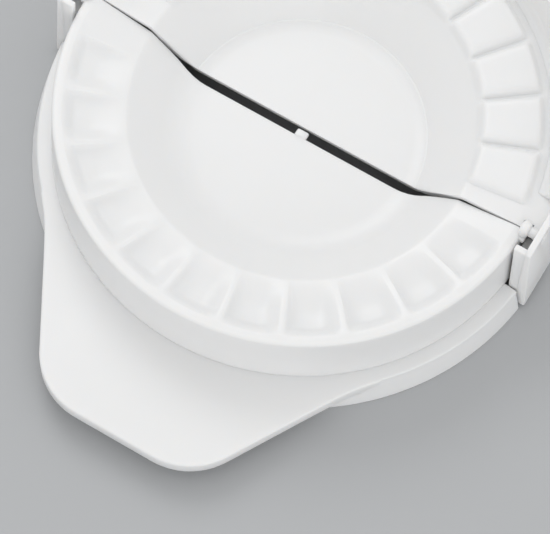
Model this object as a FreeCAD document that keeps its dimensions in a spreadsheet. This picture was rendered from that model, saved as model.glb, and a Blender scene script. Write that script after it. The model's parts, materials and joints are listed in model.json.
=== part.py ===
import FreeCAD, Part
import Sketcher
import os

# A hand press for filled dough pockets: two half dishes of moulded plastic, joined by a hinge.
# The near half carries ridges on its crimping band and two stub pins. The far half carries
# raised pads, a tall rim wall and two ears that hold the pins.
# X runs along the hinge, -Y points to the near handle and Z is up from the table.

doc = FreeCAD.newDocument("dough_pocket_press")
sheet = doc.addObject("Spreadsheet::Sheet", "Sizes")

# Driving dimensions in millimetres, degrees and counts.
DRIVING_SIZES = [
    ("rim_height", "34", "top of the flat rim above the table"),
    ("wall", "2", "moulded wall thickness"),
    ("bowl_depth", "17", "floor of the bowl below the rim"),
    ("rim_radius", "75", "outer radius of the near half's rim"),
    ("rim_land", "3", "flat rim outside the crimping band"),
    ("band_width", "19", "crimping band, across its width"),
    ("side_run", "15", "horizontal run of the bowl's side"),
    ("near_floor_cut", "2.6", "corner cut between the near bowl's side and floor, along each"),
    ("crest_drop", "4", "fall of the ridge crests towards the bowl"),
    ("flute_count", "11", "flutes in each half"),
    ("flute_turn", "2.5", "turn of the flutes from the middle, the same seen on both halves"),
    ("flute_depth", "2.6", "deepest part of a flute below the crests"),
    ("flute_end_depth", "0.5", "flute depth where it runs out at the rim"),
    ("flute_run_in", "1.2", "length of a flute inside the band, in the bowl's side"),
    ("flute_run_out", "3.5", "length over which a flute rises to the rim"),
    ("crest_width", "1.6", "width of a ridge between two flutes"),
    ("flute_lift", "3", "how far the flute's outline stands above the rim"),
    ("flank_share", "0.9", "run of a flute's flank, as a share of its depth"),
    ("flute_wall", "1.8", "wall under a flute"),
    ("under_sink", "1.5", "top of the underside bulge below the crests"),
    ("under_spread", "1", "underside bulge past each side of its flute"),
    ("flange_drop", "23", "flange top below the rim"),
    ("wall_draft", "1", "near half's outer wall stands out this far at its foot"),
    ("flange_lip", "0.7", "flange's edge outside the far half's outer face"),
    ("skirt_flare", "2", "foot ring stands out this far from the flange's edge"),
    ("flange_end", "11", "near flange stops this far from the hinge line"),
    ("tab_root_inset", "1.6", "root corners of the tab inside the flange's edge"),
    ("tab_root_angle", "43", "root corners of the tab from the hinge line, degrees"),
    ("tab_tip_half", "26", "half width of the tab's tip before rounding"),
    ("tab_length", "29", "tip of the tab beyond the flange's edge"),
    ("tab_corner", "22", "corner radius of the tab"),
    ("tab_lip", "5", "depth of the tab's turned-down edge"),
    ("split_rim", "0.4", "half of the gap between the halves at the rim"),
    ("split_floor", "1.7", "half of the gap between the halves at the floor"),
    ("hinge_rise", "0.5", "hinge axis above the rim"),
    ("pin_radius", "1.6", "stub pin"),
    ("pin_clearance", "0.06", "running clearance of the pin in its hole, radial"),
    ("pin_short", "0.4", "end of the stub pin inside the ear's outer face at its top"),
    ("lug_radius", "2.6", "round lug that carries the pin"),
    ("lug_inset", "1.5", "inner face of the lug inside the rim's edge"),
    ("lug_stand", "1.5", "outer face of the lug outside the rim's edge"),
    ("lug_gap", "0.7", "space round the lug in the far half"),
    ("seat_gap", "1.5", "space between the near half's rim and the foot of the rim wall"),
    ("wall_rise", "17", "far half's rim wall above the rim"),
    ("wall_lean", "0.8", "outward lean of the rim wall's inner face"),
    ("jacket_draft", "0.5", "far half's outer face stands out this far at its foot"),
    ("wall_end", "12", "rim wall stops this far from the hinge line"),
    ("groove_drop", "1.5", "fall of the grooves between the pads towards the bowl"),
    ("pad_height", "2.4", "crown of a pad above the grooves"),
    ("pad_end_height", "0.9", "crown of a pad at its outer end"),
    ("pad_nose_height", "0.5", "crown of a pad at its inner end"),
    ("pad_crown", "0.9", "rise of a pad's top across its width"),
    ("pad_root", "1.6", "depth of a pad's root in the shell"),
    ("pad_nose", "3.5", "length of a pad's rounded inner end"),
    ("pad_toe", "2.5", "length of a pad's rounded outer end"),
    ("groove_width", "1.6", "gap between two pads"),
    ("ear_sink", "0.3", "root of the ear plates in the far half's outer face"),
    ("ear_plate", "2", "thickness of the ear plates at their top"),
    ("ear_splay", "2", "outward lean of the ears' outer face to their foot"),
    ("ear_rise", "4", "ear top above the rim"),
    ("ear_foot", "1.5", "ear foot above the table"),
    ("ear_near", "8.7", "near face of the ear from the hinge line"),
    ("ear_far", "8", "far end of the ear from the hinge line"),
    ("end_wall", "2", "thickness of the ear's front wall"),
    ("front_gap", "0.3", "inner edge of the ear's front wall outside the seat"),
    ("overrun", "5", "how far a cut runs past what it cuts"),
]

# Worked out from the driving dimensions.
DERIVED_SIZES = [
    ("pitch", "=180 / (flute_count + 1)"),
    ("half_pitch", "=pitch / 2"),
    ("sweep", "=pitch * (flute_count - 1)"),
    ("seed_near", "=flute_turn - sweep / 2"),
    ("seed_far", "=180 - flute_turn - sweep / 2"),
    ("band_outer", "=rim_radius - rim_land"),
    ("band_inner", "=band_outer - band_width"),
    ("floor_radius", "=band_inner - side_run"),
    ("foot_radius", "=rim_radius + wall_draft"),
    ("seat_radius", "=rim_radius + seat_gap"),
    ("jacket_radius", "=seat_radius + wall_lean + wall"),
    ("jacket_foot", "=jacket_radius + jacket_draft"),
    ("flange_radius", "=jacket_foot + flange_lip"),
    ("skirt_radius", "=flange_radius + skirt_flare"),
    ("floor_height", "=rim_height - bowl_depth"),
    ("under_floor", "=floor_height - wall"),
    ("under_rim", "=rim_height - wall"),
    ("flange_height", "=rim_height - flange_drop"),
    ("under_flange", "=flange_height - wall"),
    ("rim_inner_wall", "=rim_radius - wall"),
    ("foot_inner", "=foot_radius - wall"),
    ("skirt_inner", "=skirt_radius - wall"),
    ("flange_inner", "=flange_radius - wall"),
    ("crest_height", "=rim_height - crest_drop"),
    ("groove_height", "=rim_height - groove_drop"),
    ("near_side", "=atan2(crest_height - floor_height; side_run) / 1 deg"),
    ("near_band", "=atan2(crest_drop; band_width) / 1 deg"),
    ("near_mean", "=(near_side + near_band) / 2"),
    ("near_bend", "=cos((near_side - near_band) / 2)"),
    ("near_floor_flat", "=floor_radius - near_floor_cut"),
    ("near_side_foot", "=floor_radius + near_floor_cut * cos(near_side)"),
    ("near_side_foot_up", "=floor_height + near_floor_cut * sin(near_side)"),
    ("near_under_floor", "=floor_radius + wall * tan(near_side / 2)"),
    ("near_under_band", "=band_inner + wall * sin(near_mean) / near_bend"),
    ("near_under_crest", "=crest_height - wall * cos(near_mean) / near_bend"),
    ("far_side", "=atan2(groove_height - floor_height; side_run) / 1 deg"),
    ("far_band", "=atan2(groove_drop; band_width) / 1 deg"),
    ("far_mean", "=(far_side + far_band) / 2"),
    ("far_bend", "=cos((far_side - far_band) / 2)"),
    ("far_under_floor", "=floor_radius + wall * tan(far_side / 2)"),
    ("far_under_band", "=band_inner + wall * sin(far_mean) / far_bend"),
    ("far_under_groove", "=groove_height - wall * cos(far_mean) / far_bend"),
    ("wall_top", "=rim_height + wall_rise"),
    ("wall_top_radius", "=seat_radius + wall_lean"),
    ("jacket_inner", "=jacket_radius - wall"),
    ("jacket_foot_inner", "=jacket_foot - wall"),
    ("hinge_height", "=rim_height + hinge_rise"),
    ("ear_top", "=rim_height + ear_rise"),
    ("ear_inner", "=jacket_radius - ear_sink"),
    ("ear_top_outer", "=ear_inner + ear_plate"),
    ("ear_foot_outer", "=ear_top_outer + ear_splay"),
    ("end_wall_inner", "=seat_radius + front_gap"),
    ("lug_inner", "=rim_radius - lug_inset"),
    ("lug_outer", "=rim_radius + lug_stand"),
    ("pin_reach", "=ear_top_outer - pin_short"),
    ("ear_length", "=ear_near + ear_far"),
    ("notch_radius", "=lug_radius + lug_gap"),
    ("notch_inner", "=lug_inner - lug_gap"),
    ("notch_length", "=ear_inner - notch_inner"),
    ("lug_length", "=lug_outer - lug_inner"),
    ("pin_length", "=pin_reach - lug_outer"),
    ("hole_radius", "=pin_radius + pin_clearance"),
    ("hole_length", "=ear_foot_outer - notch_inner + overrun"),
    ("lug_foot_back", "=lug_radius * cos(30)"),
    ("lug_foot_up", "=hinge_height + lug_radius * sin(30)"),
    ("lug_heel_up", "=under_rim + wall / 2"),
    ("lug_heel_back", "=lug_foot_back + (lug_foot_up - lug_heel_up) * tan(30)"),
    ("lug_bottom", "=hinge_height - lug_radius"),
    ("split_base", "=split_rim + (split_floor - split_rim) * (rim_height + overrun) / bowl_depth"),
    ("split_top", "=wall_top + overrun"),
    ("below", "=0 - overrun"),
    ("wall_cut_from", "=(band_outer + seat_radius) / 2"),
    ("wall_cut_length", "=jacket_foot - wall_cut_from + overrun"),
    ("near_ring_sweep", "=180 - 2 * asin(flange_end / flange_radius) / 1 deg"),
    ("far_ring_sweep", "=180 - 2 * asin((ear_far - wall / 2) / flange_radius) / 1 deg"),
    ("tab_floor", "=flange_height - tab_lip"),
    ("tab_root_radius", "=flange_radius - tab_root_inset"),
    ("tab_root_half", "=tab_root_radius * cos(tab_root_angle)"),
    ("tab_root_reach", "=tab_root_radius * sin(tab_root_angle)"),
    ("tab_reach", "=flange_radius + tab_length"),
    ("tab_lean", "=atan2(tab_reach - tab_root_reach; tab_root_half - tab_tip_half) / 1 deg"),
    ("hollow_height", "=tab_lip - wall"),
    ("hollow_reach", "=tab_reach - wall"),
    ("hollow_tip_half", "=tab_tip_half - wall * tan((90 - tab_lean / 2))"),
    ("hollow_root_reach", "=tab_root_reach - wall"),
    ("hollow_root_half", "=hollow_tip_half + (hollow_reach - hollow_root_reach) / tan(tab_lean)"),
    ("hollow_corner", "=tab_corner - wall"),
]

# Section stations of a flute: radius and depth below the crest line.
# Section stations of a pad: radius and crown above the groove line.
FLUTE_STATIONS = ["inner", "deep", "outer"]
PAD_STATIONS = ["nose", "rise", "fall", "toe"]
STATION_SIZES = [
    ("flute_inner_radius", "=band_inner - flute_run_in"),
    ("flute_deep_radius", "=band_outer - flute_run_out"),
    ("flute_outer_radius", "=band_outer"),
    ("flute_inner_sag", "=flute_run_in * (tan(near_side) - tan(near_band))"),
    ("flute_deep_sag", "=flute_depth"),
    ("flute_outer_sag", "=flute_end_depth"),
    ("pad_nose_radius", "=band_inner - wall / 2"),
    ("pad_rise_radius", "=band_inner + pad_nose"),
    ("pad_fall_radius", "=band_outer - pad_toe"),
    ("pad_toe_radius", "=band_outer"),
    ("pad_nose_lift", "=pad_nose_height"),
    ("pad_rise_lift", "=pad_height"),
    ("pad_fall_lift", "=pad_height"),
    ("pad_toe_lift", "=pad_end_height"),
]


def station_formulas():
    """Heights, widths and arc centres of the flute, bulge and pad sections."""
    cells = [("flute_top", "=rim_height + flute_lift")]
    for place in FLUTE_STATIONS:
        flute, bulge = f"flute_{place}", f"bulge_{place}"
        cells += [
            (f"{flute}_edge", f"=rim_height - (band_outer - {flute}_radius) * tan(near_band)"),
            (f"{flute}_half", f"={flute}_radius * tan(half_pitch) - crest_width / 2"),
            (f"{flute}_flat", f"={flute}_half - {flute}_sag * flank_share"),
            (f"{flute}_floor", f"={flute}_edge - {flute}_sag"),
            (f"{bulge}_edge", f"={flute}_edge - under_sink"),
            (f"{bulge}_half", f"={flute}_half + under_spread"),
            (f"{bulge}_floor", f"={flute}_floor - flute_wall"),
            (f"{bulge}_flat", f"={bulge}_half - ({bulge}_edge - {bulge}_floor) * flank_share"),
        ]
    for place in PAD_STATIONS:
        pad = f"pad_{place}"
        cells += [
            (f"{pad}_line", f"=rim_height - (band_outer - {pad}_radius) * tan(far_band)"),
            (f"{pad}_base", f"={pad}_line - pad_root"),
            (f"{pad}_half", f"={pad}_radius * tan(half_pitch) - groove_width / 2"),
            (f"{pad}_crown", f"=pad_crown * {pad}_lift / pad_height"),
            (f"{pad}_side", f"={pad}_line + {pad}_lift - {pad}_crown"),
            (f"{pad}_bend", f"=({pad}_half * {pad}_half / {pad}_crown + {pad}_crown) / 2"),
            (f"{pad}_centre", f"={pad}_side + {pad}_crown - {pad}_bend"),
        ]
    return cells


def corner_formulas():
    """Where the rounded corners of the tab and of its hollow start and end."""
    cells = []
    for name in ("tab", "hollow"):
        cells += [
            (f"{name}_cut", f"={name}_corner * tan(tab_lean / 2)"),
            (f"{name}_tip_end", f"={name}_tip_half - {name}_cut"),
            (f"{name}_side_end", f"={name}_tip_half + {name}_cut * cos(tab_lean)"),
            (f"{name}_side_reach", f"={name}_reach - {name}_cut * sin(tab_lean)"),
            (f"{name}_corner_reach", f"={name}_reach - {name}_corner"),
        ]
    return cells


def fill_sheet():
    """One cell per size: driving ones as plain numbers, the others as formulas."""
    notes = [(name, text, note) for name, text, note in DRIVING_SIZES]
    formulas = DERIVED_SIZES + corner_formulas() + STATION_SIZES + station_formulas()
    notes += [(name, text, "") for name, text in formulas]
    for row, (name, text, note) in enumerate(notes, start=1):
        sheet.set(f"A{row}", name)
        sheet.set(f"B{row}", text)
        sheet.set(f"C{row}", note)
        sheet.setAlias(f"B{row}", name)
    doc.recompute()


def number(name):
    """Value of a cell; a leading minus gives the mirrored side."""
    if name == "zero":
        return 0.0
    sign = -1.0 if name.startswith("-") else 1.0
    return sign * float(sheet.get(name.lstrip("-")))


def cell(name):
    """The same cell as an expression."""
    sign = "-" if name.startswith("-") else ""
    return f"{sign}Sizes.{name.lstrip('-')}"


def origin_part(body, role):
    return [part for part in body.Origin.OriginFeatures if part.Role == role][0]


def sketch_on(body, name, role, offset=None, turn=None):
    """A sketch on one of the body's origin planes, moved along its normal or turned about Z."""
    sketch = body.newObject("Sketcher::SketchObject", name)
    sketch.AttachmentSupport = [(origin_part(body, role), "")]
    sketch.MapMode = "FlatFace"
    if turn:
        sketch.AttachmentOffset = FreeCAD.Placement(
            FreeCAD.Vector(), FreeCAD.Rotation(FreeCAD.Vector(0, 1, 0), number(turn)))
        sketch.setExpression("AttachmentOffset.Rotation.Angle", cell(turn))
        sketch.setExpression("AttachmentOffset.Base.x", f"{cell(offset)} * sin({cell(turn)})")
        sketch.setExpression("AttachmentOffset.Base.z", f"{cell(offset)} * cos({cell(turn)})")
    elif offset:
        sketch.setExpression("AttachmentOffset.Base.z", cell(offset))
    return sketch


def pin_distance(sketch, geometry, position, kind, axis, name):
    """Fixes one coordinate of a point by a cell, or puts the point on an axis."""
    if name == "zero":
        sketch.addConstraint(Sketcher.Constraint("PointOnObject", geometry, position, axis))
        return
    rule = Sketcher.Constraint(kind, -1, 1, geometry, position, number(name))
    index = sketch.addConstraint(rule)
    sketch.setExpression(f"Constraints[{index}]", cell(name))


def pin_height(sketch, geometry, position, up):
    pin_distance(sketch, geometry, position, "DistanceY", -1, up)


def pin_point(sketch, geometry, position, across, up):
    pin_distance(sketch, geometry, position, "DistanceX", -2, across)
    pin_height(sketch, geometry, position, up)


def draw_outline(sketch, corners, arcs=None):
    """A closed outline through corners given as pairs of cells.

    arcs maps the number of an edge to the pair of cells of its centre.
    """
    arcs = arcs or {}
    points = [FreeCAD.Vector(number(across), number(up), 0) for across, up in corners]
    starts, ends = [], []
    for place, start in enumerate(points):
        end = points[(place + 1) % len(points)]
        if place not in arcs:
            edge = sketch.addGeometry(Part.LineSegment(start, end), False)
            starts.append((edge, 1))
            ends.append((edge, 2))
            continue
        across, up = arcs[place]
        centre = FreeCAD.Vector(number(across), number(up), 0)
        forward = start.sub(centre).cross(end.sub(centre)).z > 0
        first, last = (start, end) if forward else (end, start)
        circle = Part.Circle(centre, FreeCAD.Vector(0, 0, 1), first.sub(centre).Length)
        arc = Part.ArcOfCircle(circle, circle.parameter(first), circle.parameter(last))
        edge = sketch.addGeometry(arc, False)
        starts.append((edge, 1 if forward else 2))
        ends.append((edge, 2 if forward else 1))
    for place, (edge, position) in enumerate(starts):
        sketch.addConstraint(Sketcher.Constraint("Coincident", *ends[place - 1], edge, position))
        pin_point(sketch, edge, position, *corners[place])
    for place, (across, up) in arcs.items():
        pin_height(sketch, starts[place][0], 3, up)


def draw_circle(sketch, up, radius):
    """A circle on the sketch's upright axis."""
    centre = FreeCAD.Vector(0, number(up), 0)
    circle = Part.Circle(centre, FreeCAD.Vector(0, 0, 1), number(radius))
    edge = sketch.addGeometry(circle, False)
    pin_point(sketch, edge, 3, "zero", up)
    index = sketch.addConstraint(Sketcher.Constraint("Radius", edge, number(radius)))
    sketch.setExpression(f"Constraints[{index}]", cell(radius))


def pad(body, name, sketch, length, reverse=False):
    feature = body.newObject("PartDesign::Pad", name)
    feature.Profile = sketch
    feature.Reversed = reverse
    feature.setExpression("Length", cell(length))
    doc.recompute()
    return feature


def pocket(body, name, sketch, length=None, reverse=False):
    """A cut of a given length, or through everything both ways."""
    before = body.Shape.Volume
    feature = body.newObject("PartDesign::Pocket", name)
    feature.Profile = sketch
    feature.Reversed = reverse
    if length:
        feature.setExpression("Length", cell(length))
    else:
        feature.Type = "ThroughAll"
        feature.Midplane = True
    doc.recompute()
    if not body.Shape.Volume < before:
        raise RuntimeError(f"{name} cuts nothing")
    return feature


def revolve(body, name, sketch, angle=None):
    """Half a turn, or the angle in a cell, spread evenly about the sketch's plane."""
    feature = body.newObject("PartDesign::Revolution", name)
    feature.Profile = sketch
    feature.ReferenceAxis = (sketch, ["V_Axis"])
    feature.Midplane = True
    feature.Angle = 180
    if angle:
        feature.setExpression("Angle", cell(angle))
    doc.recompute()
    return feature


def loft(body, name, kind, sections):
    feature = body.newObject(f"PartDesign::{kind}Loft", name)
    feature.Profile = sections[0]
    feature.Sections = sections[1:]
    feature.Ruled = True
    doc.recompute()
    return feature


def fan(body, name, feature):
    """Repeats a feature round the Z axis, once for each flute."""
    pattern = body.newObject("PartDesign::PolarPattern", name)
    pattern.Originals = [feature]
    pattern.Axis = (origin_part(body, "Z_Axis"), [""])
    pattern.setExpression("Angle", cell("sweep"))
    pattern.setExpression("Occurrences", cell("flute_count"))
    body.Tip = pattern
    doc.recompute()
    return pattern


def mirror(body, name, features):
    """Repeats features at the other end of the hinge."""
    copy = body.newObject("PartDesign::Mirrored", name)
    copy.Originals = features
    copy.MirrorPlane = (origin_part(body, "YZ_Plane"), [""])
    body.Tip = copy
    doc.recompute()
    return copy


def tab_outline(body, side, name):
    """A tapered outline with two rounded corners and an arc at its root."""
    sketch = sketch_on(body, f"{body.Name}_{name}_outline", "XY_Plane", "tab_floor")
    corner_reach = side + f"{name}_corner_reach"
    corners = [
        (f"-{name}_root_half", side + f"{name}_root_reach"),
        (f"-{name}_side_end", side + f"{name}_side_reach"),
        (f"-{name}_tip_end", side + f"{name}_reach"),
        (f"{name}_tip_end", side + f"{name}_reach"),
        (f"{name}_side_end", side + f"{name}_side_reach"),
        (f"{name}_root_half", side + f"{name}_root_reach"),
    ]
    arcs = {
        1: (f"-{name}_tip_end", corner_reach),
        3: (f"{name}_tip_end", corner_reach),
        5: ("zero", "zero"),
    }
    draw_outline(sketch, corners, arcs)
    return sketch


def tab(body, side):
    """The thumb tab: a tapered plate with a turned-down edge, open below."""
    pad(body, f"{body.Name}_tab", tab_outline(body, side, "tab"), "tab_lip")
    sketch = tab_outline(body, side, "hollow")
    pocket(body, f"{body.Name}_tab_hollow", sketch, "hollow_height", reverse=True)


def flange_ring(body, side, foot, angle):
    """The flange round the foot of the wall and the skirt that stands on the table."""
    sketch = sketch_on(body, f"{body.Name}_ring_section", "YZ_Plane")
    corners = [
        (side + foot, "flange_height"),
        (side + "flange_radius", "flange_height"),
        (side + "skirt_radius", "zero"),
        (side + "skirt_inner", "zero"),
        (side + "flange_inner", "under_flange"),
        (side + foot, "under_flange"),
    ]
    draw_outline(sketch, corners)
    return revolve(body, f"{body.Name}_ring", sketch, angle)


def split_face(body, side, away):
    """Trims the half back to its leaning end face beside the hinge line."""
    sketch = sketch_on(body, f"{body.Name}_split_outline", "YZ_Plane")
    corners = [
        (side + "split_base", "below"),
        (side + "split_rim", "rim_height"),
        (side + "split_rim", "split_top"),
        (away + "overrun", "split_top"),
        (away + "overrun", "below"),
    ]
    draw_outline(sketch, corners)
    return pocket(body, f"{body.Name}_split", sketch)


def near_half():
    """The ridged half with its tab, flange and stub pins."""
    body = doc.addObject("PartDesign::Body", "male_half")
    tab(body, "-")
    flange_ring(body, "-", "foot_inner", "near_ring_sweep")
    section = sketch_on(body, "near_shell_section", "YZ_Plane")
    draw_outline(section, [
        ("zero", "floor_height"),
        ("-near_floor_flat", "floor_height"),
        ("-near_side_foot", "near_side_foot_up"),
        ("-band_inner", "crest_height"),
        ("-band_outer", "rim_height"),
        ("-rim_radius", "rim_height"),
        ("-foot_radius", "flange_height"),
        ("-foot_radius", "under_flange"),
        ("-foot_inner", "under_flange"),
        ("-rim_inner_wall", "under_rim"),
        ("-band_outer", "under_rim"),
        ("-near_under_band", "near_under_crest"),
        ("-near_under_floor", "under_floor"),
        ("zero", "under_floor"),
    ])
    revolve(body, "near_shell", section)
    bulges, flutes = [], []
    for place in FLUTE_STATIONS:
        flute, bulge = f"flute_{place}", f"bulge_{place}"
        sketch = sketch_on(body, f"{bulge}_section", "XZ_Plane", f"{flute}_radius", "seed_near")
        draw_outline(sketch, [
            (f"-{bulge}_flat", f"{bulge}_floor"),
            (f"{bulge}_flat", f"{bulge}_floor"),
            (f"{bulge}_half", f"{bulge}_edge"),
            (f"-{bulge}_half", f"{bulge}_edge"),
        ])
        bulges.append(sketch)
        sketch = sketch_on(body, f"{flute}_section", "XZ_Plane", f"{flute}_radius", "seed_near")
        draw_outline(sketch, [
            (f"-{flute}_flat", f"{flute}_floor"),
            (f"{flute}_flat", f"{flute}_floor"),
            (f"{flute}_half", f"{flute}_edge"),
            (f"{flute}_half", "flute_top"),
            (f"-{flute}_half", "flute_top"),
            (f"-{flute}_half", f"{flute}_edge"),
        ])
        flutes.append(sketch)
    fan(body, "bulges", loft(body, "bulge", "Additive", bulges))
    fan(body, "flutes", loft(body, "flute", "Subtractive", flutes))
    split_face(body, "-", "")
    sketch = sketch_on(body, "lug_outline", "YZ_Plane", "lug_inner")
    draw_circle(sketch, "hinge_height", "lug_radius")
    lug = pad(body, "lug", sketch, "lug_length")
    sketch = sketch_on(body, "lug_foot_outline", "YZ_Plane", "lug_inner")
    draw_outline(sketch, [
        ("-lug_foot_back", "lug_foot_up"),
        ("-lug_heel_back", "lug_heel_up"),
        ("-lug_heel_back", "lug_bottom"),
        ("zero", "lug_bottom"),
    ])
    foot = pad(body, "lug_foot", sketch, "lug_length")
    sketch = sketch_on(body, "pin_outline", "YZ_Plane", "lug_outer")
    draw_circle(sketch, "hinge_height", "pin_radius")
    stub = pad(body, "stub_pin", sketch, "pin_length")
    mirror(body, "other_pin", [lug, foot, stub])
    return body


def far_half():
    """The padded half with its rim wall, tab, flange and ears."""
    body = doc.addObject("PartDesign::Body", "female_half")
    tab(body, "")
    flange_ring(body, "", "jacket_foot_inner", "far_ring_sweep")
    section = sketch_on(body, "far_shell_section", "YZ_Plane")
    draw_outline(section, [
        ("zero", "floor_height"),
        ("floor_radius", "floor_height"),
        ("band_inner", "groove_height"),
        ("band_outer", "rim_height"),
        ("seat_radius", "rim_height"),
        ("wall_top_radius", "wall_top"),
        ("jacket_radius", "wall_top"),
        ("jacket_foot", "flange_height"),
        ("jacket_foot", "under_flange"),
        ("jacket_foot_inner", "under_flange"),
        ("jacket_inner", "under_rim"),
        ("band_outer", "under_rim"),
        ("far_under_band", "far_under_groove"),
        ("far_under_floor", "under_floor"),
        ("zero", "under_floor"),
    ])
    revolve(body, "far_shell", section)
    sketch = sketch_on(body, "wall_end_outline", "YZ_Plane", "wall_cut_from")
    draw_outline(sketch, [
        ("-overrun", "rim_height"),
        ("wall_end", "rim_height"),
        ("wall_end", "split_top"),
        ("-overrun", "split_top"),
    ])
    end_cut = pocket(body, "wall_end_cut", sketch, "wall_cut_length", reverse=True)
    mirror(body, "other_wall_end", [end_cut])
    sections = []
    for place in PAD_STATIONS:
        name = f"pad_{place}"
        sketch = sketch_on(body, f"{name}_section", "XZ_Plane", f"{name}_radius", "seed_far")
        draw_outline(sketch, [
            (f"-{name}_half", f"{name}_base"),
            (f"{name}_half", f"{name}_base"),
            (f"{name}_half", f"{name}_side"),
            (f"-{name}_half", f"{name}_side"),
        ], {2: ("zero", f"{name}_centre")})
        sections.append(sketch)
    fan(body, "pads", loft(body, "pad", "Additive", sections))
    split_face(body, "", "-")
    sketch = sketch_on(body, "ear_section", "XZ_Plane", "ear_near")
    draw_outline(sketch, [
        ("ear_inner", "ear_foot"),
        ("ear_foot_outer", "ear_foot"),
        ("ear_top_outer", "ear_top"),
        ("ear_inner", "ear_top"),
    ])
    ear = pad(body, "ear", sketch, "ear_length", reverse=True)
    sketch = sketch_on(body, "ear_front_outline", "XZ_Plane", "ear_near")
    draw_outline(sketch, [
        ("end_wall_inner", "ear_foot"),
        ("ear_top_outer", "ear_foot"),
        ("ear_top_outer", "ear_top"),
        ("end_wall_inner", "ear_top"),
    ])
    front = pad(body, "ear_front", sketch, "end_wall", reverse=True)
    mirror(body, "other_ear", [ear, front])
    sketch = sketch_on(body, "notch_outline", "YZ_Plane", "notch_inner")
    draw_circle(sketch, "hinge_height", "notch_radius")
    notch = pocket(body, "lug_notch", sketch, "notch_length", reverse=True)
    sketch = sketch_on(body, "hole_outline", "YZ_Plane", "notch_inner")
    draw_circle(sketch, "hinge_height", "hole_radius")
    hole = pocket(body, "pin_hole", sketch, "hole_length", reverse=True)
    mirror(body, "other_pin_hole", [notch, hole])
    return body


def write_out(bodies):
    """Checks every object and each body's shape, then writes the solids."""
    doc.recompute()
    for item in doc.Objects:
        if "Invalid" in item.State or "Error" in item.State:
            raise RuntimeError(f"{item.Name} failed: {item.State}")
    os.makedirs("parts", exist_ok=True)
    for body in bodies:
        shape = body.Shape
        if shape.isNull() or not shape.isValid() or len(shape.Solids) != 1:
            raise RuntimeError(f"{body.Name} is not one valid solid")
        body.Label = body.Name
        shape.exportStep(f"parts/{body.Label}.step")
        box = shape.BoundBox
        print(body.Label, round(shape.Volume), len(shape.Faces), box)


fill_sheet()
write_out([near_half(), far_half()])
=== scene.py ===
# %% [markdown]
# # A hinged press for filled dough pockets
# The press is two moulded plastic half dishes that meet at a hinge. Its construction comes from a
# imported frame, and this notebook gives it the look of glossy off-white plastic. Every piece below
# is made in metres, in the frame's own place, so nothing is fitted afterwards.

# %% Load the frame
import json
import math
import bmesh
import bpy
from mathutils import Matrix, Vector


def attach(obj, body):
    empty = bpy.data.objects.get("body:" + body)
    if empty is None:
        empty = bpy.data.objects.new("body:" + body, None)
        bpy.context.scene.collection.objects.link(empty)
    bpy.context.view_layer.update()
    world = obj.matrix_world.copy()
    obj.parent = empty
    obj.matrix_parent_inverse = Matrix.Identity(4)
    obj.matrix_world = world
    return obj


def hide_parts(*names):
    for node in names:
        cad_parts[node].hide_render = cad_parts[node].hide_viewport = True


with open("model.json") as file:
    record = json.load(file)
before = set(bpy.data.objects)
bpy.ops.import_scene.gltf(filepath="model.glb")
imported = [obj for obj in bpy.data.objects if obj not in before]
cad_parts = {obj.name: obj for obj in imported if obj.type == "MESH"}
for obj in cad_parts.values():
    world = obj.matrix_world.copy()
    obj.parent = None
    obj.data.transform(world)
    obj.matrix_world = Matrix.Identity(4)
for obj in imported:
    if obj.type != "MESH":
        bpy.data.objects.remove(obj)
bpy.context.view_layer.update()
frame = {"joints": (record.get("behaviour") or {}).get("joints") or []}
HINGE = Vector(frame["joints"][0]["pos_m"])

# %% [markdown]
# ## Sizes
# All driving sizes are real ones, in millimetres, named once and scaled to metres here. The rim
# height follows the hinge, because the hinge line lies half a millimetre above the rim.

# %% Driving sizes
MM = 0.001
WALL = 2.0 * MM
RIM_Z = HINGE.z - 0.5 * MM
FLOOR_Z = RIM_Z - 17.0 * MM
FLANGE_Z = RIM_Z - 23.0 * MM
FOOT_Z = FLANGE_Z - 0.5 * WALL
CREST_Z = RIM_Z - 4.0 * MM
GROOVE_Z = RIM_Z - 1.5 * MM
FLOOR_R = 38.0 * MM
BAND_IN = 53.0 * MM
BAND_OUT = 72.0 * MM
RIM_R = 75.0 * MM
FOOT_R = 76.0 * MM
FLANGE_R = 80.5 * MM
SKIRT_R = 82.5 * MM
NEAR_END = 9.4 * MM
FAR_END = 7.0 * MM
NEAR, FAR = -1, 1
print("rim height", round(RIM_Z / MM, 2), "mm")

# %% [markdown]
# ## The plastic
# The real thing is injection-moulded polypropylene: off-white, softly glossy and very slightly
# translucent. A plain colour would look like paint, so the shader mixes two close whites with a
# slow noise, lets the roughness wander where hands and dough polish it, and adds a faint ripple
# like the one that cooling leaves. All patterns read Object coordinates.

# %% Moulded plastic
PALE, SHADE = (0.85, 0.85, 0.85, 1), (0.82, 0.82, 0.815, 1)
GLOSSIEST, DULLEST = 0.31, 0.42
TRANSLUCENCY = 0.35
SCATTER_BY_COLOUR = (1.0, 0.9, 0.8)
SCATTER_DEPTH = 3.0 * MM
REFRACTION = 1.49


def add_node(tree, kind, **settings):
    """A node with its settings; values for sockets are given by their names."""
    node = tree.nodes.new(kind)
    for name, value in settings.items():
        if hasattr(node, name):
            setattr(node, name, value)
        else:
            node.inputs[name.replace("_", " ").title()].default_value = value
    return node


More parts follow.
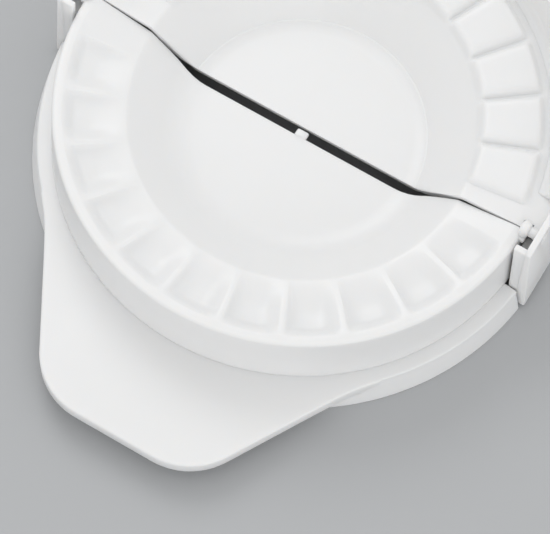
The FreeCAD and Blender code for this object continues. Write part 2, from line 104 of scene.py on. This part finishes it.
def moulded_plastic(name):
    """Off-white plastic with a slow tint, a wandering gloss and a faint ripple."""
    material = bpy.data.materials.new(name)
    material.use_nodes = True
    tree = material.node_tree
    shader = tree.nodes["Principled BSDF"]
    shader.inputs["Subsurface Weight"].default_value = TRANSLUCENCY
    shader.inputs["Subsurface Radius"].default_value = SCATTER_BY_COLOUR
    shader.inputs["Subsurface Scale"].default_value = SCATTER_DEPTH
    shader.inputs["IOR"].default_value = REFRACTION
    place = add_node(tree, "ShaderNodeTexCoord").outputs["Object"]
    cloud = add_node(tree, "ShaderNodeTexNoise", scale=22.0, detail=3.0)
    streak = add_node(tree, "ShaderNodeTexNoise", scale=90.0, detail=4.0)
    grain = add_node(tree, "ShaderNodeTexNoise", scale=240.0, detail=1.0)
    for noise in (cloud, streak, grain):
        tree.links.new(place, noise.inputs["Vector"])
    tint = add_node(tree, "ShaderNodeMix", data_type="RGBA")
    tint.inputs["A"].default_value = PALE
    tint.inputs["B"].default_value = SHADE
    tree.links.new(cloud.outputs["Fac"], tint.inputs["Factor"])
    tree.links.new(tint.outputs["Result"], shader.inputs["Base Color"])
    gloss = add_node(
        tree, "ShaderNodeMapRange", from_min=0.3, from_max=0.7, to_min=GLOSSIEST, to_max=DULLEST)
    tree.links.new(streak.outputs["Fac"], gloss.inputs["Value"])
    tree.links.new(gloss.outputs["Result"], shader.inputs["Roughness"])
    ripple = add_node(tree, "ShaderNodeBump", strength=0.05, distance=0.1 * MM)
    tree.links.new(grain.outputs["Fac"], ripple.inputs["Height"])
    wave = add_node(tree, "ShaderNodeBump", strength=0.25, distance=0.2 * MM)
    tree.links.new(cloud.outputs["Fac"], wave.inputs["Height"])
    tree.links.new(ripple.outputs["Normal"], wave.inputs["Normal"])
    tree.links.new(wave.outputs["Normal"], shader.inputs["Normal"])
    return material


plastic = moulded_plastic("moulded_plastic")
print("material", plastic.name)

# %% [markdown]
# ## From a section to a shell
# Each half is a body of revolution cut at the hinge line, so its section is drawn once, with
# rounded corners, and swept through half a turn. A lathe tool would end the sweep on radial
# planes. Here each point of the section has its own end angle instead, which lets the end face
# lean away from the hinge line as the mould does.

# %% Rounded outline
SHARED_LEG, OWN_LEG = 0.49, 0.98


def every(length):
    """A rule for the longest step along a path: the same everywhere."""
    return lambda across: length


def finer_in_band(fine, coarse):
    """A rule with short steps where the flutes and pads will be, and long ones elsewhere."""
    start, stop = BAND_IN - 3 * MM, BAND_OUT + 1 * MM
    return lambda across: fine if start < across < stop else coarse


def rounded(corners, step=every(0.7 * MM), bend=math.radians(12)):
    """Points along a path of (across, up, radius) corners, with each corner rounded."""
    path = []
    for place, (across, up, radius) in enumerate(corners):
        here = Vector((across, up))
        if radius == 0 or place in (0, len(corners) - 1):
            path.append(here)
            continue
        before = Vector(corners[place - 1][:2]) - here
        after = Vector(corners[place + 1][:2]) - here
        turn = math.pi - before.angle(after)
        reach = radius * math.tan(turn / 2)
        for leg, other in ((before, corners[place - 1]), (after, corners[place + 1])):
            reach = min(reach, leg.length * (SHARED_LEG if other[2] else OWN_LEG))
        radius = reach / math.tan(turn / 2)
        middle = (before.normalized() + after.normalized()).normalized()
        centre = here + middle * (radius / math.cos(turn / 2))
        first = here + before.normalized() * reach - centre
        last = here + after.normalized() * reach - centre
        count = max(2, math.ceil(turn / bend))
        for index in range(count + 1):
            path.append(centre + first.lerp(last, index / count).normalized() * radius)
    points = [path[0]]
    for here in path[1:]:
        start = points[-1]
        count = max(1, math.ceil((here - start).length / step(max(here.x, start.x))))
        points += [start.lerp(here, (index + 1) / count) for index in range(count)]
    return points


TOP_STEP = finer_in_band(0.6 * MM, 4 * MM)
UNDER_STEP = finer_in_band(1.4 * MM, 5 * MM)
WALL_STEP = every(2.5 * MM)
print("outline helper ready")

# %% [markdown]
# A sweep turns every point of the section into a ring of half a turn, and a skin joins the rings.

# %% Sweep
COLUMNS, FINE_COLUMNS = 240, 480
SPLIT_RIM, SPLIT_FLOOR, SPLIT_POWER = 0.2 * MM, 1.7 * MM, 5
MERGE_WITHIN, SLIVER = 0.002 * MM, 0.001 * MM


def new_object(name, data):
    """An object for a mesh, lamp or camera, linked to the scene."""
    made = bpy.data.objects.new(name, data)
    bpy.context.scene.collection.objects.link(made)
    return made


def from_form(name, form):
    """An object from a bmesh, with its normals pointing outwards."""
    bmesh.ops.recalc_face_normals(form, faces=form.faces)
    mesh = bpy.data.meshes.new(name)
    form.to_mesh(mesh)
    form.free()
    return new_object(name, mesh)


def split_line(height):
    """Distance of the end face from the hinge line: upright, then falling away by the floor."""
    drop = max(0.0, RIM_Z - height) / (RIM_Z - FLOOR_Z)
    return SPLIT_RIM + (SPLIT_FLOOR - SPLIT_RIM) * (drop ** SPLIT_POWER if drop < 1 else drop)


def half_turn(stop, radius, columns):
    """Angles of a half turn whose two ends lie a given distance from the hinge line."""
    first = math.asin(min(1.0, stop / radius))
    return [first + (math.pi - 2 * first) * column / columns for column in range(columns + 1)]


def skin(form, rings):
    """Faces between neighbouring rings of a closed section, and a face over each end."""
    for before, after in zip(rings, rings[1:] + rings[:1]):
        for column in range(len(before) - 1):
            form.faces.new((before[column], before[column + 1], after[column + 1], after[column]))
    form.faces.new([ring[0] for ring in rings])
    form.faces.new([ring[-1] for ring in reversed(rings)])


def sweep(name, section, side, end_at, columns=COLUMNS):
    """Sweeps a closed section of (radius, height) points round half a turn on one side."""
    form = bmesh.new()
    rings = []
    for radius, height in section:
        stop = end_at(height)
        radius = max(radius, stop)
        rings.append([
            form.verts.new((radius * math.cos(angle), side * radius * math.sin(angle), height))
            for angle in half_turn(stop, radius, columns)
        ])
    skin(form, rings)
    bmesh.ops.remove_doubles(form, verts=form.verts, dist=MERGE_WITHIN)
    bmesh.ops.dissolve_degenerate(form, edges=form.edges, dist=SLIVER)
    return from_form(name, form)


print("sweep helper ready")

# %% [markdown]
# ## The crimp
# Eleven flutes press the edge of the dough on one half, and eleven pads answer them on the other.
# They repeat by one rule, so a node tree moves the shell's points up or down: across each pitch
# the depth follows a power curve, and along the radius it eases in and out. The same tree makes
# hollow flutes (negative lift, low power) and flat pads (positive lift, high power). Skew makes
# one flank of a flute steeper than the other.

# %% Node tree for the crimp
CRIMP_INPUTS = {
    "Lift": 0.0, "Power": 2.2, "Skew": 0.0,
    "Pitch": math.radians(15), "Start": math.radians(5), "Count": 11.0, "Crest": 1.6 * MM,
    "Inner": BAND_IN, "Outer": BAND_OUT, "Ease In": 3.0 * MM, "Ease Out": 2.0 * MM,
}


def crimp_tree():
    """The node tree, with a named input for each size."""
    tree = bpy.data.node_groups.new("crimp", "GeometryNodeTree")
    tree.interface.new_socket("Geometry", in_out="INPUT", socket_type="NodeSocketGeometry")
    tree.interface.new_socket("Geometry", in_out="OUTPUT", socket_type="NodeSocketGeometry")
    for name, value in CRIMP_INPUTS.items():
        item = tree.interface.new_socket(name, in_out="INPUT", socket_type="NodeSocketFloat")
        item.default_value = value
    tree.interface.new_socket("Plastic", in_out="INPUT", socket_type="NodeSocketMaterial")
    given = tree.nodes.new("NodeGroupInput").outputs

    def maths(operation, *values):
        node = tree.nodes.new("ShaderNodeMath")
        node.operation = operation
        for socket, value in zip(node.inputs, values):
            if isinstance(value, (int, float)):
                socket.default_value = value
            else:
                tree.links.new(value, socket)
        return node.outputs[0]

    def ease(value, low, high):
        node = tree.nodes.new("ShaderNodeMapRange")
        node.interpolation_type = "SMOOTHSTEP"
        for socket, source in zip(("Value", "From Min", "From Max"), (value, low, high)):
            tree.links.new(source, node.inputs[socket])
        return node.outputs["Result"]

    split = tree.nodes.new("ShaderNodeSeparateXYZ")
    tree.links.new(tree.nodes.new("GeometryNodeInputPosition").outputs[0], split.inputs[0])
    across, along = split.outputs["X"], split.outputs["Y"]
    squares = maths("ADD", maths("MULTIPLY", across, across), maths("MULTIPLY", along, along))
    radius = maths("SQRT", squares)
    angle = maths("ARCTAN2", maths("ABSOLUTE", along), across)
    turn = maths("DIVIDE", maths("SUBTRACT", angle, given["Start"]), given["Pitch"])
    started, not_over = maths("GREATER_THAN", turn, 0.0), maths("LESS_THAN", turn, given["Count"])
    within = maths("MULTIPLY", started, not_over)
    aside = maths("SUBTRACT", maths("MULTIPLY", maths("FRACT", turn), 2.0), 1.0)
    crest = maths("DIVIDE", given["Crest"], maths("MULTIPLY", radius, given["Pitch"]))
    share = maths("DIVIDE", maths("ABSOLUTE", aside), maths("SUBTRACT", 1.0, crest))
    power = maths("ADD", given["Power"], maths("MULTIPLY", given["Skew"], aside))
    shape = maths("SUBTRACT", 1.0, maths("POWER", maths("MINIMUM", share, 1.0), power))
    rise = ease(radius, given["Inner"], maths("ADD", given["Inner"], given["Ease In"]))
    fall = ease(radius, maths("SUBTRACT", given["Outer"], given["Ease Out"]), given["Outer"])
    amount = maths("MULTIPLY", maths("MULTIPLY", shape, rise), maths("SUBTRACT", 1.0, fall))
    lift = maths("MULTIPLY", maths("MULTIPLY", amount, within), given["Lift"])
    offset = tree.nodes.new("ShaderNodeCombineXYZ")
    tree.links.new(lift, offset.inputs["Z"])
    move = tree.nodes.new("GeometryNodeSetPosition")
    tree.links.new(given["Geometry"], move.inputs["Geometry"])
    tree.links.new(offset.outputs[0], move.inputs["Offset"])
    whole = tree.nodes.new("GeometryNodeRealizeInstances")
    tree.links.new(move.outputs[0], whole.inputs[0])
    paint = tree.nodes.new("GeometryNodeSetMaterial")
    tree.links.new(whole.outputs[0], paint.inputs["Geometry"])
    tree.links.new(given["Plastic"], paint.inputs["Material"])
    tree.links.new(paint.outputs[0], tree.nodes.new("NodeGroupOutput").inputs[0])
    return tree


CRIMP = crimp_tree()
print("crimp tree with", len(CRIMP.nodes), "nodes")

# %% [markdown]
# ## Finishing a piece
# A modifier is only a recipe, so each one is turned into a plain mesh at once. Then the edges are
# rounded, and the piece gets its plastic and the body that it moves with.

# %% Modifiers to meshes
BEVEL_STEPS = 3
CREASE = math.radians(35)


def settle(piece):
    """Applies a piece's modifiers, so that it is a plain mesh."""
    view = bpy.context.evaluated_depsgraph_get()
    view.update()
    mesh = bpy.data.meshes.new_from_object(piece.evaluated_get(view))
    piece.modifiers.clear()
    piece.data = mesh
    return piece


def crimp(piece, **sizes):
    """Adds the flutes or pads to a shell; sizes are the tree's inputs."""
    modifier = piece.modifiers.new("crimp", "NODES")
    modifier.node_group = CRIMP
    items = CRIMP.interface.items_tree
    keys = {item.name: item.identifier for item in items if item.in_out == "INPUT"}
    modifier[keys["Plastic"]] = plastic
    for name, value in sizes.items():
        modifier[keys[name.replace("_", " ").title()]] = value
    settle(piece)


def soften(piece, width, angle=50):
    """Rounds the piece's edges that are sharper than the angle."""
    modifier = piece.modifiers.new("edges", "BEVEL")
    modifier.width = width
    modifier.segments = BEVEL_STEPS
    modifier.limit_method = "ANGLE"
    modifier.angle_limit = math.radians(angle)
    return settle(piece)


def finish_piece(piece, body):
    """Smooth shading with crisp creases, the plastic, and the body that the piece moves with."""
    piece.data.materials.clear()
    piece.data.materials.append(plastic)
    piece.data.shade_smooth()
    piece.data.set_sharp_from_angle(angle=CREASE)
    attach(piece, body)
    print(piece.name, len(piece.data.polygons), "faces")


print("finishing helpers ready")

# %% [markdown]
# ## Turned and boxed forms
# The hinge parts are small cylinders and boxes. A cylinder is turned from a rounded profile, so
# its ends are soft, and a box may have leaning side faces. They are drawn at the +X end and
# repeated, mirrored, at the other end.

# %% Small forms
TURN_STEPS, BORE_STEPS = 40, 64
END_ROUND = 1.5


def turned(form, profile, steps=TURN_STEPS):
    """A closed form turned about the hinge line from (across, radius) points."""
    rings = []
    for across, radius in profile:
        ring = []
        for step in range(steps):
            angle = 2 * math.pi * step / steps
            along, up = radius * math.cos(angle), HINGE.z + radius * math.sin(angle)
            ring.append(form.verts.new((across, along, up)))
        rings.append(ring)
    for before, after in zip(rings, rings[1:]):
        for step in range(steps):
            then = (step + 1) % steps
            form.faces.new((before[step], before[then], after[then], after[step]))
    form.faces.new(rings[0][::-1])
    form.faces.new(rings[-1])


def barrel(radius, start, end, edge=0.0):
    """Profile of a cylinder on the hinge line, with rounded ends if it has an edge radius."""
    flat = radius - END_ROUND * edge
    corners = [(start, flat, 0), (start, radius, edge), (end, radius, edge), (end, flat, 0)]
    return rounded(corners if edge else corners[1:3], step=every(1.0))


def block(form, low, high, foot=None):
    """A box; foot gives its own x limits at the bottom, so that its side faces lean."""
    spots = []
    for z in (low[2], high[2]):
        inner, outer = foot if foot and z == low[2] else (low[0], high[0])
        for x, y in ((inner, low[1]), (outer, low[1]), (outer, high[1]), (inner, high[1])):
            spots.append(form.verts.new((x, y, z)))
    bottom, top = (0, 3, 2, 1), (4, 5, 6, 7)
    for face in (bottom, top, (0, 1, 5, 4), (1, 2, 6, 5), (2, 3, 7, 6), (3, 0, 4, 7)):
        form.faces.new([spots[index] for index in face])


def at_both_ends(name, *builds):
    """An object from functions that fill a bmesh at the +X end, with the same at the other end."""
    form = bmesh.new()
    for build in builds:
        build(form)
    copy = bmesh.ops.duplicate(form, geom=form.verts[:] + form.edges[:] + form.faces[:])["geom"]
    for item in copy:
        if isinstance(item, bmesh.types.BMVert):
            item.co.x = -item.co.x
    return from_form(name, form)


def bore(piece, *profiles):
    """Cuts turned forms on the hinge line out of both ends of a piece."""
    for profile in profiles:
        tool = at_both_ends("tool", lambda form: turned(form, profile, steps=BORE_STEPS))
        modifier = piece.modifiers.new("bore", "BOOLEAN")
        modifier.operation = "DIFFERENCE"
        modifier.solver = "EXACT"
        modifier.object = tool
        settle(piece)
        bpy.data.objects.remove(tool)


print("small form helpers ready")

# %% [markdown]
# The sizes of the hinge parts come first, because the padded shell is cut for the lugs and pins.

# %% Hinge sizes
LUG_R, LUG_IN, LUG_OUT, LUG_EDGE = 2.6 * MM, 73.5 * MM, 76.5 * MM, 1.2 * MM
LUG_FOOT_LOW = (LUG_IN, -3.5 * MM, RIM_Z - 2.1 * MM)
LUG_FOOT_HIGH = (LUG_OUT - 0.2 * MM, -0.4 * MM, RIM_Z - 0.1 * MM)
PIN_R, PIN_ROOT, PIN_END, PIN_EDGE = 1.6 * MM, LUG_OUT - 0.5 * MM, 80.6 * MM, 0.3 * MM
NOTCH_ROOM, NOTCH_ENDS = 0.15 * MM, 0.2 * MM
HOLE_R, HOLE_OVERRUN = PIN_R + 0.06 * MM, 2 * MM
EAR_IN, EAR_TOP_OUT, EAR_FOOT_OUT = 79.0 * MM, 81.0 * MM, 83.0 * MM
EAR_FOOT_Z, EAR_TOP_Z = 1.5 * MM, RIM_Z + 4 * MM
EAR_NEAR, EAR_FAR = -8.7 * MM, 8.0 * MM
FRONT_TOP_IN, FRONT_FOOT_IN, FRONT_OUT = 75.45 * MM, 77.0 * MM, EAR_IN + 0.5 * MM
FRONT_THICK, FRONT_INSET = 2.0 * MM, 0.02 * MM
POCKET_IN, POCKET_OUT, POCKET_FAR = 75.95 * MM, EAR_IN + 0.6 * MM, 0.6 * MM
POCKET_Z, POCKET_THICK = RIM_Z - 5.2 * MM, 1.5 * MM
print("pin", round(PIN_R / MM, 2), "mm in a hole of", round(HOLE_R / MM, 2), "mm")

# %% [markdown]
# ## The ridged half dish
# A shallow bowl rises to the fluted band, turns over a narrow flat rim and falls as the outer
# wall. One section does it all; the soft corner at the bowl's floor is what makes the floor's
# edge so faint from above.

# %% Ridged shell
NEAR_SHIFT = 0.7 * MM
near_top = rounded([
    (0, FLOOR_Z, 0),
    (FLOOR_R, FLOOR_Z, 13 * MM),
    (BAND_IN, CREST_Z, 2.5 * MM),
    (BAND_OUT, RIM_Z, 2 * MM),
    (RIM_R, RIM_Z, 1.1 * MM),
    (FOOT_R, FOOT_Z, 0),
], step=TOP_STEP)
near_under = rounded([
    (0, FLOOR_Z - WALL, 0),
    (FLOOR_R + NEAR_SHIFT, FLOOR_Z - WALL, 15 * MM),
    (BAND_IN + NEAR_SHIFT, CREST_Z - 0.95 * WALL, 2.5 * MM),
    (BAND_OUT - 1 * MM, RIM_Z - WALL, 1 * MM),
    (RIM_R - WALL, RIM_Z - WALL, 0.8 * MM),
    (FOOT_R - WALL, FOOT_Z, 0),
], step=UNDER_STEP)
near_shell = sweep(
    "near_shell", near_top + near_under[::-1], NEAR, split_line, columns=FINE_COLUMNS)
crimp(
    near_shell, lift=-2.4 * MM, power=3.0, skew=1.6,
    inner=BAND_IN - 1.0 * MM, ease_in=13 * MM, outer=BAND_OUT + 0.4 * MM, ease_out=4.2 * MM,
)
soften(near_shell, width=0.25 * MM)
finish_piece(near_shell, "male")
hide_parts("male_half")

# %% [markdown]
# ## The padded half dish
# The far half has a crisper floor edge, which stands up as a fine bead, pads in place of flutes,
# and a flat land outside them. The lugs of the other half turn in notches of its rim.

# %% Padded shell
JACKET_TOP, JACKET_RIM, JACKET_FOOT = 79.3 * MM, 79.51 * MM, 79.8 * MM
FAR_SHIFT = 0.9 * MM
BEAD = 0.25 * MM
far_top = rounded([
    (0, FLOOR_Z, 0),
    (FLOOR_R - 0.9 * MM, FLOOR_Z, 0),
    (FLOOR_R - 0.5 * MM, FLOOR_Z + BEAD, 0.3 * MM),
    (FLOOR_R, FLOOR_Z + BEAD, 0.5 * MM),
    (BAND_IN, GROOVE_Z, 2 * MM),
    (BAND_OUT, RIM_Z, 0),
    (JACKET_RIM, RIM_Z, 0.6 * MM),
    (JACKET_FOOT, FOOT_Z, 0),
], step=TOP_STEP)
far_under = rounded([
    (0, FLOOR_Z - WALL, 0),
    (FLOOR_R + FAR_SHIFT, FLOOR_Z - WALL, 2 * MM),
    (BAND_IN + FAR_SHIFT, GROOVE_Z - 0.9 * WALL, 2 * MM),
    (BAND_OUT, RIM_Z - WALL, 0),
    (JACKET_RIM - WALL, RIM_Z - WALL, 0.6 * MM),
    (JACKET_FOOT - WALL, FOOT_Z, 0),
], step=UNDER_STEP)
far_shell = sweep("far_shell", far_top + far_under[::-1], FAR, split_line, columns=FINE_COLUMNS)
crimp(
    far_shell, lift=1.9 * MM, power=10.0, crest=1.0 * MM,
    inner=BAND_IN - 1.2 * MM, ease_in=2.6 * MM, ease_out=2.2 * MM,
)
soften(far_shell, width=0.35 * MM)
bore(
    far_shell,
    barrel(LUG_R + NOTCH_ROOM, LUG_IN - NOTCH_ENDS, LUG_OUT + NOTCH_ENDS),
    barrel(PIN_R + NOTCH_ROOM, LUG_OUT, EAR_TOP_OUT),
)
finish_piece(far_shell, "female")
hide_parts("female_half")

# %% [markdown]
# ## The rim wall
# A tall wall stands round the padded half and guides the other half as it closes. It rises from
# the land in a hollow curve and stops short of the hinge, so it is a sweep with its own end line.
# Its outer face runs down to the flange in one, so that no join shows from behind.

# %% Rim wall
CURVE_R, SEAT_R = 73.5 * MM, 76.5 * MM
WALL_TOP = RIM_Z + 17 * MM
WALL_END = 12 * MM
WALL_ROOT_Z = RIM_Z - 0.4 * WALL
SKIN = 0.8 * MM
rim_wall = sweep("rim_wall", rounded([
    (CURVE_R, WALL_ROOT_Z, 0),
    (CURVE_R, RIM_Z + 0.04 * MM, 0),
    (75.4 * MM, RIM_Z + 0.6 * MM, 2.2 * MM),
    (SEAT_R + 0.05 * MM, RIM_Z + 3.2 * MM, 2.5 * MM),
    (SEAT_R + 0.8 * MM, WALL_TOP, 0.7 * MM),
    (JACKET_TOP, WALL_TOP, 0.7 * MM),
    (JACKET_FOOT + 0.03 * MM, FOOT_Z, 0),
    (JACKET_FOOT - SKIN, FOOT_Z, 0),
    (JACKET_RIM - SKIN, RIM_Z - 3.2 * MM, 0),
    (JACKET_RIM - 0.9 * WALL, WALL_ROOT_Z, 0),
], step=WALL_STEP), FAR, lambda height: WALL_END)
soften(rim_wall, width=0.5 * MM)
finish_piece(rim_wall, "female")

# %% [markdown]
# ## Flange and thumb tab
# Flange and tab are one plate with a turned-down edge. Seen from above, its outline is a circle
# that swells into a tapered tab, so the radius of the edge is a function of the angle: the larger
# of the two outlines, blended where they meet.

# %% Flange and tab
TAB_ROOT, TAB_TIP, TAB_CORNER = (57.7 * MM, 53.8 * MM), (26.0 * MM, 109.49 * MM), 22 * MM
TAB_LIP = 5.0 * MM
ROOT_BLEND = 1.2 * MM
LARGEST_POWER = 60.0
EDGE_ROUND = 0.8 * MM
tab_path = rounded([
    (*TAB_ROOT, 0),
    (*TAB_TIP, TAB_CORNER),
    (-TAB_TIP[0], TAB_TIP[1], TAB_CORNER),
    (-TAB_ROOT[0], TAB_ROOT[1], 0),
], bend=math.radians(4))


def tab_radius(angle):
    """Distance from the middle to the tab's outline in one direction, or 0 beside the tab."""
    ray = Vector((math.cos(angle), math.sin(angle)))
    for first, last in zip(tab_path, tab_path[1:]):
        side_a, side_b = ray.cross(first), ray.cross(last)
        if side_a <= 0 <= side_b:
            share = side_a / (side_a - side_b)
            return first.lerp(last, share).dot(ray)
    return 0.0


def edge_radius(angle):
    """The larger of flange and tab, blended at the root."""
    gap = tab_radius(angle) - FLANGE_R
    return FLANGE_R + ROOT_BLEND * math.log1p(math.exp(min(gap / ROOT_BLEND, LARGEST_POWER)))


def plate(name, side, end, inner):
    """The plate with its edge, as rings from the wall out, over the edge and back below."""
    angles = half_turn(end, FLANGE_R, FINE_COLUMNS)
    edge = [Vector((math.cos(a), math.sin(a))) * edge_radius(a) for a in angles]
    normals = []
    for place in range(len(edge)):
        along = edge[min(place + 1, len(edge) - 1)] - edge[max(place - 1, 0)]
        normals.append(Vector((along.y, -along.x)).normalized())
    form = bmesh.new()

    def ring(inset, height):
        points = [spot - normal * inset for spot, normal in zip(edge, normals)]
        return [form.verts.new((spot.x, side * spot.y, height)) for spot in points]

    def inner_ring(height):
        points = [(inner * math.cos(a), side * inner * math.sin(a), height) for a in angles]
        return [form.verts.new(point) for point in points]

    rings = [inner_ring(FLANGE_Z)]
    for share in (0, 0.25, 0.5, 0.75, 1):
        bend = share * math.pi / 2
        fall = EDGE_ROUND * (1 - math.cos(bend))
        rings.append(ring(EDGE_ROUND * (1 - math.sin(bend)), FLANGE_Z - fall))
    for inset, drop in ((0, TAB_LIP), (WALL, TAB_LIP), (WALL, WALL)):
        rings.append(ring(inset, FLANGE_Z - drop))
    rings.append(inner_ring(FLANGE_Z - WALL))
    skin(form, rings)
    return soften(from_form(name, form), width=0.3 * MM, angle=60)


finish_piece(plate("near_plate", NEAR, NEAR_END, FOOT_R - 0.6 * WALL), "male")
finish_piece(plate("far_plate", FAR, FAR_END, JACKET_FOOT - 0.6 * WALL), "female")

# %% [markdown]
# ## The skirt
# A thin flared ring carries each half on the table.

# %% Skirts
SKIRT_INSIDE_EDGE = 0.02 * MM
SKIRT_FOOT_ROUND = 0.5 * MM


def skirt(name, side, end):
    """One half's ring, from under the flange's edge to the table."""
    section = rounded([
        (FLANGE_R + SKIRT_INSIDE_EDGE, FLANGE_Z - EDGE_ROUND, 0),
        (SKIRT_R, 0, SKIRT_FOOT_ROUND),
        (SKIRT_R - WALL, 0, SKIRT_FOOT_ROUND),
        (FLANGE_R - WALL, FLANGE_Z - EDGE_ROUND, 0),
    ], step=WALL_STEP)
    return soften(sweep(name, section, side, lambda height: end), width=0.4 * MM)


finish_piece(skirt("near_skirt", NEAR, NEAR_END), "male")
finish_piece(skirt("far_skirt", FAR, FAR_END), "female")

# %% [markdown]
# ## Hinge: lugs, stub pins and ears
# The ridged half carries a round lug and a stub pin at each end of its rim. The pins turn in
# holes in two tall ear plates on the padded half. Each ear has a front wall, and a small floor
# closes the pocket between it and the pin.

# %% Lugs and stub pins
lugs = at_both_ends(
    "lugs",
    lambda form: turned(form, barrel(LUG_R, LUG_IN, LUG_OUT, LUG_EDGE)),
    lambda form: block(form, LUG_FOOT_LOW, LUG_FOOT_HIGH),
)
finish_piece(soften(lugs, width=0.5 * MM, angle=70), "male")
stub_pins = at_both_ends(
    "stub_pins", lambda form: turned(form, barrel(PIN_R, PIN_ROOT, PIN_END, PIN_EDGE)))
finish_piece(stub_pins, "male")

# %% Ears
ears = at_both_ends("ears", lambda form: block(
    form, (EAR_IN, EAR_NEAR, EAR_FOOT_Z), (EAR_TOP_OUT, EAR_FAR, EAR_TOP_Z),
    foot=(EAR_IN, EAR_FOOT_OUT)))
bore(ears, barrel(HOLE_R, EAR_IN - HOLE_OVERRUN, EAR_FOOT_OUT + HOLE_OVERRUN))
finish_piece(soften(ears, width=0.5 * MM), "female")
ear_fronts = at_both_ends(
    "ear_fronts",
    lambda form: block(
        form, (FRONT_TOP_IN, EAR_NEAR + FRONT_INSET, EAR_FOOT_Z),
        (FRONT_OUT, EAR_NEAR + FRONT_THICK, EAR_TOP_Z - FRONT_INSET),
        foot=(FRONT_FOOT_IN, FRONT_OUT)),
    lambda form: block(
        form, (POCKET_IN, EAR_NEAR + 0.5 * FRONT_THICK, POCKET_Z - POCKET_THICK),
        (POCKET_OUT, POCKET_FAR, POCKET_Z)),
)
finish_piece(soften(ear_fronts, width=0.4 * MM), "female")

# %% [markdown]
# ## The gate nub
# A small nub, left where the mould's gate was cut, stands on the ridged half's edge between the
# two floors.

# %% Gate nub
GATE_LOW = (-2.0 * MM, -3.0 * MM, FLOOR_Z - 1.7 * MM)
GATE_HIGH = (2.0 * MM, 0.9 * MM, FLOOR_Z - 0.15 * MM)
gate = bmesh.new()
block(gate, GATE_LOW, GATE_HIGH)
finish_piece(soften(from_form("gate_nub", gate), width=0.6 * MM), "male")

# %% [markdown]
# ## Studio
# A grey floor, one broad soft light from the upper left of the picture as in the photograph, a
# low fill from the lower right that keeps the walls as light as they are there, and an even world.

# %% Floor, lights and world
FLOOR_COLOUR, FLOOR_ROUGHNESS, FLOOR_SIZE = (0.45, 0.46, 0.47, 1), 0.7, 3.0
AIM = Vector((0, 0, 0.02))
WORLD_STRENGTH = 0.8


def light(name, place, size, power):
    """A round soft light that points at the press."""
    data = bpy.data.lights.new(name, "AREA")
    data.shape = "DISK"
    data.size = size
    data.energy = power
    lamp = new_object(name, data)
    lamp.location = place
    lamp.rotation_euler = (AIM - Vector(place)).to_track_quat("-Z", "Y").to_euler()


ground = bmesh.new()
bmesh.ops.create_grid(ground, x_segments=1, y_segments=1, size=FLOOR_SIZE)
floor = from_form("floor", ground)
floor_paint = bpy.data.materials.new("floor_paint")
floor_paint.use_nodes = True
floor_shader = floor_paint.node_tree.nodes["Principled BSDF"]
floor_shader.inputs["Base Color"].default_value = FLOOR_COLOUR
floor_shader.inputs["Roughness"].default_value = FLOOR_ROUGHNESS
floor.data.materials.append(floor_paint)
light("key", place=(-0.6, 0.55, 0.95), size=0.7, power=3.4)
light("fill", place=(0.95, -1.1, 0.55), size=1.8, power=6.0)
world = bpy.data.worlds.new("studio")
bpy.context.scene.world = world
world.use_nodes = True
background = world.node_tree.nodes["Background"]
background.inputs["Color"].default_value = (1, 1, 1, 1)
background.inputs["Strength"].default_value = WORLD_STRENGTH
bpy.context.scene.view_settings.view_transform = "Standard"
print("studio with", len(bpy.data.lights), "lights")

# %% [markdown]
# ## Camera
# A long lens looks steeply down on the near half, so the picture has little perspective. Its
# three axes and its place were fitted to the ridges, the rim, the floor and the tab of the
# photograph. The place is given in rim radii from the middle of the rim.

# %% Camera
PICTURE_WIDTH, FOCAL_PIXELS, SENSOR_WIDTH = 550, 3031.9, 36.0
CAMERA_RIGHT = Vector((0.86097, 0.50812, 0.02329))
CAMERA_UP = Vector((-0.48005, 0.79657, 0.36746))
CAMERA_BACK = Vector((0.16817, -0.32755, 0.92975))
CAMERA_PLACE = Vector((2.21927, -4.48989, 10.93004))
camera_data = bpy.data.cameras.new("camera")
camera_data.sensor_width = SENSOR_WIDTH
camera_data.lens = SENSOR_WIDTH * FOCAL_PIXELS / PICTURE_WIDTH
camera = new_object("camera", camera_data)
axes = Matrix((CAMERA_RIGHT, CAMERA_UP, CAMERA_BACK)).transposed()
camera.rotation_euler = axes.to_euler()
camera.location = CAMERA_PLACE * RIM_R + Vector((0, 0, RIM_Z))
bpy.context.scene.camera = camera
print("camera lens", round(camera_data.lens, 1), "mm")
